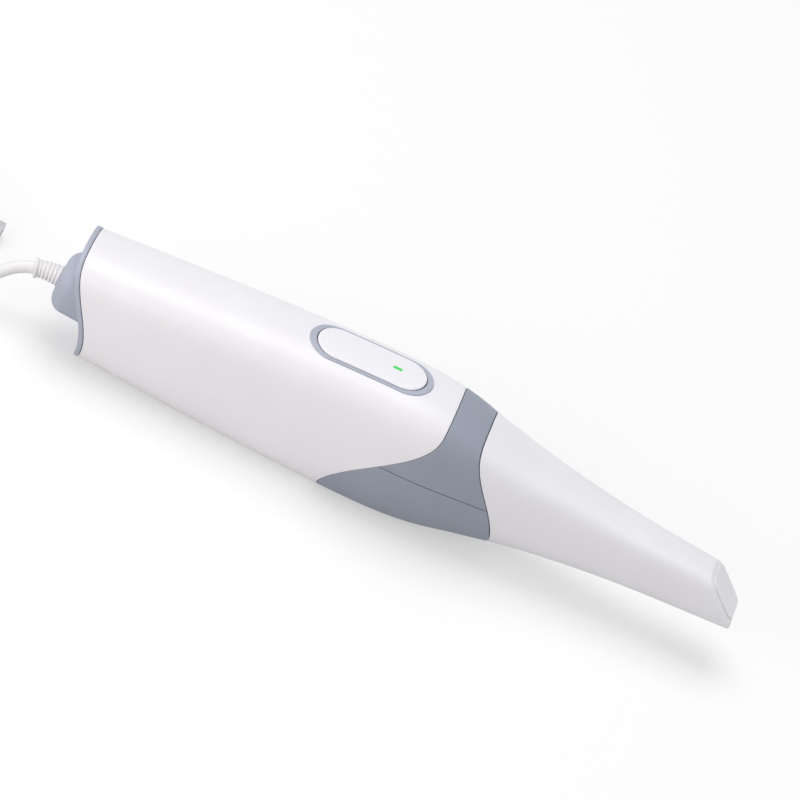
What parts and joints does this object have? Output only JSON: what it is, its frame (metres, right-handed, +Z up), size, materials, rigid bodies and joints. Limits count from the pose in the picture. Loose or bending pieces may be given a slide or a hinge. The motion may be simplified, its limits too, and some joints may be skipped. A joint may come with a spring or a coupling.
{
  "type": "intraoral scanner",
  "caption": "Handheld intraoral scanner with a removable mirror tip, a press button, a blue-grey grip and a cable that ends in a USB plug.",
  "frame": {"origin": "on the surface that the handle rests on, under the middle of the handle and tip, in their plane of symmetry", "axes": "+X from the cable end to the tip, +Z up through the button, XZ the plane of symmetry"},
  "size_m": [0.415, 0.075, 0.0568],
  "materials": {
    "white_plastic": "satin white moulding",
    "grip_plastic": "blue-grey fine-textured moulding",
    "tip_plastic": "pale translucent-looking white moulding",
    "light_green": "green indicator window",
    "relief_rubber": "soft white rubber",
    "cable_jacket": "white cable jacket",
    "plug_plastic": "white overmoulding",
    "plug_metal": "nickel-plated sheet",
    "plug_insert": "blue insulator",
    "frame_aluminium": "milled",
    "black_plastic": "black moulding",
    "board_green": "solder mask",
    "chip_black": "epoxy",
    "screw_steel": "bright",
    "optic_glass": "coated",
    "mirror_glass": "front-surface mirror",
    "seal_rubber": "black elastomer"
  },
  "bodies": {
    "handle": {"main_shell": "white_plastic", "grip_upper": "grip_plastic", "grip_lower": "grip_plastic", "rear_cap": "grip_plastic", "button_ring": "grip_plastic", "button_switch": "black_plastic", "button_board": "board_green", "status_led": "optic_glass", "optical_frame": "frame_aluminium", "frame_screws": "screw_steel", "beam_prism": "optic_glass", "projector": "black_plastic", "image_sensor": "chip_black", "camera_board": "board_green", "lens_barrel": "black_plastic", "lenses": "optic_glass", "heat_sink": "frame_aluminium", "main_board": "board_green", "board_screws": "screw_steel", "board_chips": "chip_black", "board_socket": "plug_plastic", "inner_lead": "cable_jacket", "cable_clamp": "frame_aluminium", "strain_relief": "relief_rubber", "snout": "black_plastic", "snout_window": "optic_glass", "snout_seal": "seal_rubber", "tip_catches": "screw_steel", "cable": "cable_jacket", "cable_coil": "cable_jacket", "plug_body": "plug_plastic", "plug_shell": "plug_metal", "plug_tongue": "plug_insert"},
    "button": {"button_pad": "white_plastic", "button_light": "light_green", "switch_plunger": "black_plastic"},
    "tip": {"tip_shell": "tip_plastic", "tip_mirror": "mirror_glass"}
  },
  "joints": [
    {"name": "button_press", "type": "slide", "parent": "handle", "child": "button", "axis": [0, 0, -1], "range_m": [0, 0.0009], "stiffness_N_per_m": 900, "springref_m": -0.001},
    {"name": "tip_slide", "type": "slide", "parent": "handle", "child": "tip", "axis": [1, 0, 0], "range_m": [0, 0.075]}
  ]
}
